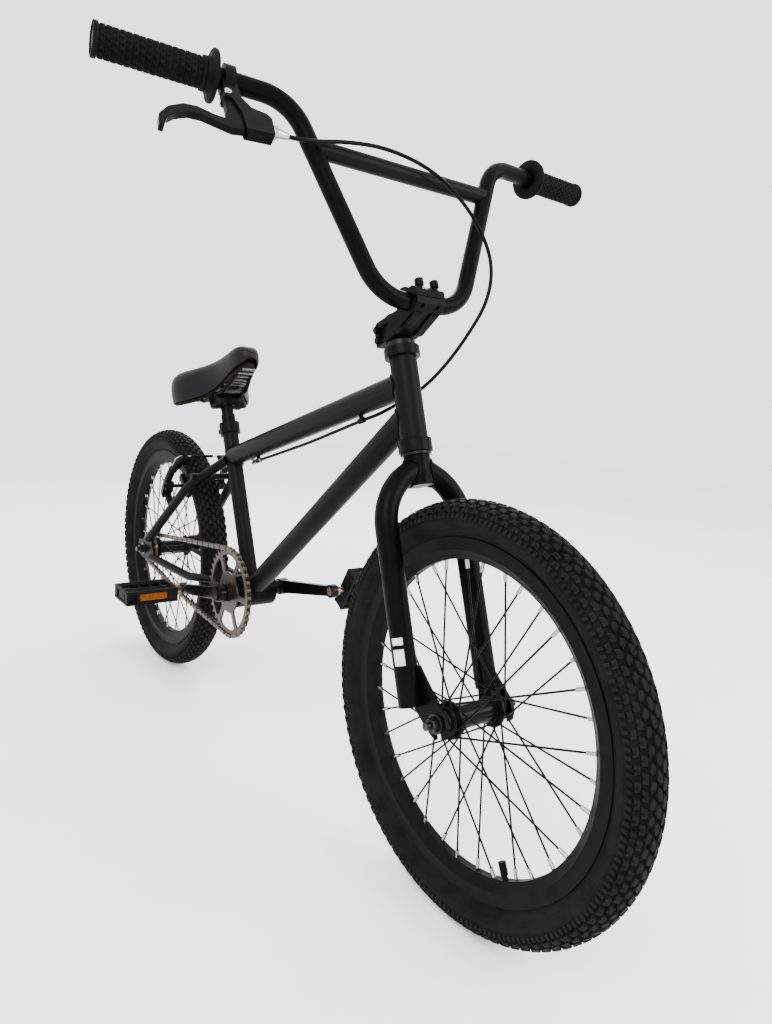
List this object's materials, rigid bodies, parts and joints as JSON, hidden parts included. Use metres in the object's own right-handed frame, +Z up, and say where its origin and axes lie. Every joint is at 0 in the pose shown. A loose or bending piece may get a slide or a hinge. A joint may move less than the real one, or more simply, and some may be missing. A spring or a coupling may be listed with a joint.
{
  "type": "bmx bicycle",
  "caption": "Black 20 inch BMX bicycle with high-rise handlebar, knobbly tyres, wire-spoked wheels, one-piece drivetrain, platform pedals and a single rear rim brake.",
  "frame": {"origin": "on the ground, midway between the two tyre contact points, in the bike's middle plane", "axes": "+X forwards to the front wheel, +Y to the rider's left, +Z up"},
  "size_m": [1.4894, 0.7478, 0.9813],
  "materials": {
    "frame_paint": "satin black powder coat",
    "fork_paint": "satin black powder coat",
    "tyre": "dark grey-black rubber",
    "inner_tube": "black butyl with a black valve cap",
    "rim": "satin black anodised",
    "spoke": "black",
    "nipple": "bright silver",
    "hub": "gloss black",
    "axle_steel": "zinc-plated steel",
    "black_steel": "black oxide",
    "stem": "satin black",
    "grip_rubber": "matt black moulded rubber",
    "lever_body": "satin black cast",
    "bright_steel": "bright plated",
    "housing": "black sheathed cable",
    "brake_arm": "satin black",
    "wire": "stranded steel wire with a black boot",
    "crank": "gloss black",
    "ring_bronze": "dark bronze-brown",
    "chain": "brown-grey steel",
    "freewheel": "bronze-brown",
    "spindle_steel": "steel",
    "pedal": "matt black resin with amber reflectors",
    "post": "satin black",
    "clamp_steel": "dark plated steel",
    "saddle_cover": "smooth black vinyl",
    "saddle_shell": "ribbed black plastic"
  },
  "bodies": {
    "frame": {"head_tube": "frame_paint", "top_tube": "frame_paint", "down_tube": "frame_paint", "seat_tube": "frame_paint", "bb_shell": "frame_paint", "chain_stays": "frame_paint", "seat_stays": "frame_paint", "rear_dropouts": "frame_paint", "headset_cups": "black_steel", "seat_clamp": "stem", "bb_bearings": "black_steel", "rear_axle": "axle_steel", "rear_axle_nuts": "axle_steel", "frame_fittings": "frame_paint", "rear_cable": "housing", "chain": "chain"},
    "fork": {"fork_steerer": "fork_paint", "fork_legs": "fork_paint", "fork_dropouts": "fork_paint", "headset_bearings": "bright_steel", "stem_body": "stem", "stem_cap": "stem", "stem_bolts": "black_steel", "handlebar": "fork_paint", "crossbar": "fork_paint", "grips": "grip_rubber", "lever_bracket": "lever_body", "lever_screws": "bright_steel", "front_axle": "axle_steel", "front_axle_nuts": "axle_steel", "front_cable": "housing"},
    "front_wheel": {"front_tyre": "tyre", "front_rim": "rim", "front_inner_tube": "inner_tube", "front_spokes": "spoke", "front_nipples": "nipple", "front_hub": "hub"},
    "rear_wheel": {"rear_tyre": "tyre", "rear_rim": "rim", "rear_inner_tube": "inner_tube", "rear_spokes": "spoke", "rear_nipples": "nipple", "rear_hub": "hub"},
    "freewheel": {"freewheel": "freewheel"},
    "crank": {"crank_spindle": "spindle_steel", "crank_arms": "crank", "chainring": "ring_bronze", "pedal_spindles": "spindle_steel"},
    "right_pedal": {"right_pedal": "pedal"},
    "left_pedal": {"left_pedal": "pedal"},
    "brake_lever": {"brake_lever": "lever_body"},
    "left_brake_arm": {"left_brake_arm": "brake_arm"},
    "right_brake_arm": {"right_brake_arm": "brake_arm", "brake_wire": "wire"},
    "seat_post": {"seat_post": "post", "saddle_clamp": "clamp_steel"},
    "saddle": {"saddle_rails": "clamp_steel", "saddle": "saddle_cover", "saddle_base": "saddle_shell"}
  },
  "joints": [
    {"name": "steering", "type": "hinge", "parent": "frame", "child": "fork", "pos_m": [0.32339, 0, 0.62335], "axis": [-0.3305, 0, 0.9438], "range_deg": [-80, 80], "deforming": ["front_cable"]},
    {"name": "front_wheel_spin", "type": "hinge", "parent": "fork", "child": "front_wheel", "pos_m": [0.4875, 0, 0.257], "axis": [0, 1, 0], "continuous": true},
    {"name": "rear_wheel_spin", "type": "hinge", "parent": "frame", "child": "rear_wheel", "pos_m": [-0.4875, 0, 0.257], "axis": [0, 1, 0], "continuous": true},
    {"name": "crank_spin", "type": "hinge", "parent": "frame", "child": "crank", "pos_m": [-0.08996, 0, 0.261], "axis": [0, 1, 0], "continuous": true, "deforming": ["chain"]},
    {"name": "freewheel_spin", "type": "hinge", "parent": "frame", "child": "freewheel", "pos_m": [-0.4875, 0, 0.257], "axis": [0, 1, 0], "continuous": true, "deforming": ["chain"]},
    {"name": "right_pedal_spin", "type": "hinge", "parent": "crank", "child": "right_pedal", "pos_m": [-0.25851, -0.132, 0.22671], "axis": [0, 1, 0], "continuous": true},
    {"name": "left_pedal_spin", "type": "hinge", "parent": "crank", "child": "left_pedal", "pos_m": [0.07859, 0.132, 0.29529], "axis": [0, 1, 0], "continuous": true},
    {"name": "brake_lever_pull", "type": "hinge", "parent": "fork", "child": "brake_lever", "pos_m": [0.27688, -0.24156, 0.92843], "axis": [-0.7925, 0.0864, -0.6037], "range_deg": [0, 20], "stiffness_Nm_per_rad": 0.4, "springref_deg": -20.05},
    {"name": "left_brake_close", "type": "hinge", "parent": "frame", "child": "left_brake_arm", "pos_m": [-0.385, 0.05, 0.395], "axis": [0.766, 0, -0.6428], "range_deg": [0, 3.4], "deforming": ["rear_cable", "brake_wire"]},
    {"name": "right_brake_close", "type": "hinge", "parent": "frame", "child": "right_brake_arm", "pos_m": [-0.385, -0.05, 0.395], "axis": [-0.766, 0, 0.6428], "range_deg": [0, 3.4], "deforming": ["brake_wire"]},
    {"name": "seat_height", "type": "slide", "parent": "frame", "child": "seat_post", "axis": [-0.3851, 0, 0.9229], "range_m": [-0.015, 0.08]},
    {"name": "saddle_tilt", "type": "hinge", "parent": "seat_post", "child": "saddle", "pos_m": [-0.22706, 0, 0.58954], "axis": [0, 1, 0], "range_deg": [-10, 10]}
  ],
  "couplings": [
    {"joint": "freewheel_spin", "follows": "crank_spin", "ratio": 2.375},
    {"joint": "left_brake_close", "follows": "brake_lever_pull", "ratio": 0.168},
    {"joint": "right_brake_close", "follows": "brake_lever_pull", "ratio": 0.168}
  ]
}
